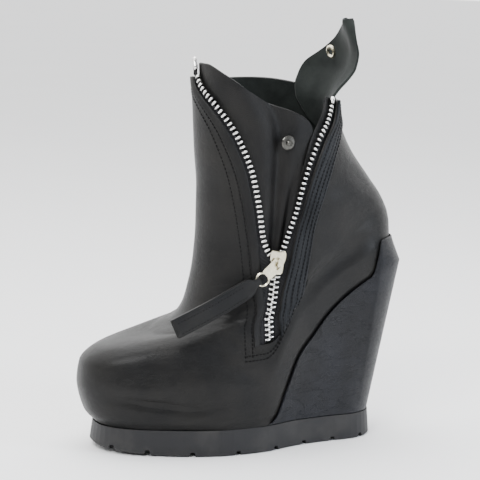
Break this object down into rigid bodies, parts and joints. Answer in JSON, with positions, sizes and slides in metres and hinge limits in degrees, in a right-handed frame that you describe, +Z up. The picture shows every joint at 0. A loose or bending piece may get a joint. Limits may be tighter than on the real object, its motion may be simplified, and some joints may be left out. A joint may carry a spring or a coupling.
{
  "type": "wedge ankle boot with side zip",
  "caption": "Black leather ankle boot on a wedge heel, side zip open, lugged rubber sole and a snap tab at the collar.",
  "frame": {"origin": "on the floor under the middle of the outsole, on the flat tread", "axes": "+Z up; +X from the toe to the heel; -Y is the outer side of the foot"},
  "size_m": [0.2442, 0.0926, 0.3069],
  "materials": {
    "upper_leather": "smooth black leather with a soft sheen",
    "wedge_leather": "finer grained black leather",
    "lining": "dark suede lining",
    "rubber": "matte moulded",
    "zip_tape": "woven",
    "nickel": "polished nickel, slightly yellow"
  },
  "bodies": {
    "boot": {"outsole": "rubber", "wedge": "wedge_leather", "insole": "lining", "upper": "upper_leather", "underlap": "lining", "zip_facing": "wedge_leather", "collar_tab": "lining", "zip_tape_front": "zip_tape", "zip_tape_back": "zip_tape", "zip_teeth_front": "nickel", "zip_teeth_back": "nickel", "zip_slider": "nickel", "snap_stud": "nickel", "snap_socket": "nickel"},
    "pull": {"zip_pull": "nickel", "pull_strap": "upper_leather"}
  },
  "joints": [
    {"name": "pull_hinge", "type": "hinge", "parent": "boot", "child": "pull", "pos_m": [0.01291, -0.04073, 0.13538], "axis": [-0.7022, 0.1235, 0.7011], "range_deg": [0, 100]}
  ]
}
